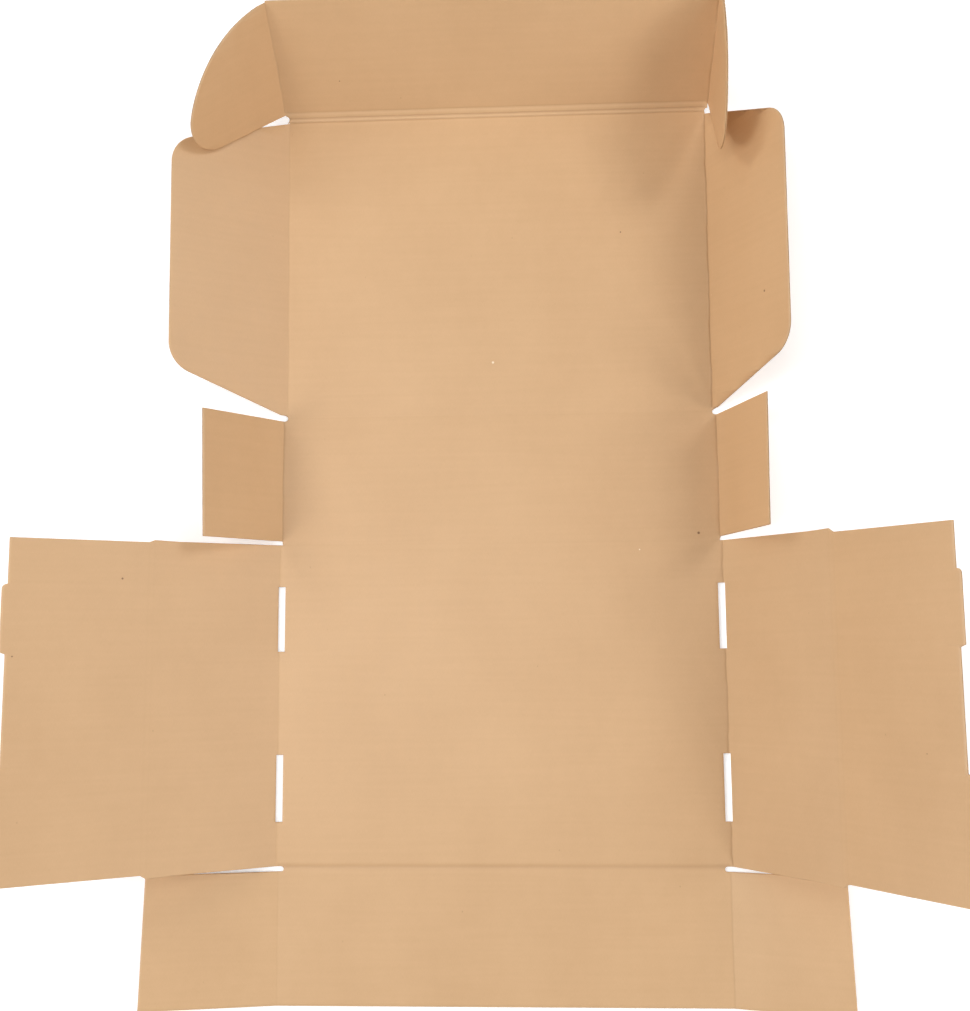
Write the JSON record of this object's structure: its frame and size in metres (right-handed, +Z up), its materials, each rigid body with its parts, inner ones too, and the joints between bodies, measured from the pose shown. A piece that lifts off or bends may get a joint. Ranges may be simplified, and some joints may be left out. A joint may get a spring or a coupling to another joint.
{
  "type": "flattened cardboard box",
  "caption": "One-piece corrugated mailer blank, opened out: a base with slots, roll-over side walls, a front and a back wall, and a lid with side flaps and a tuck flap.",
  "frame": {"origin": "centre of the base panel's underside, the face that rests on the table", "axes": "+Z up through the sheet, +Y from the front wall across the base to the lid, +X to the right-hand side wall"},
  "size_m": [0.5657, 0.6604, 0.142],
  "materials": {
    "kraft_board": "matte"
  },
  "bodies": {
    "root": {"mailer_blank": "kraft_board"}
  },
  "joints": []
}
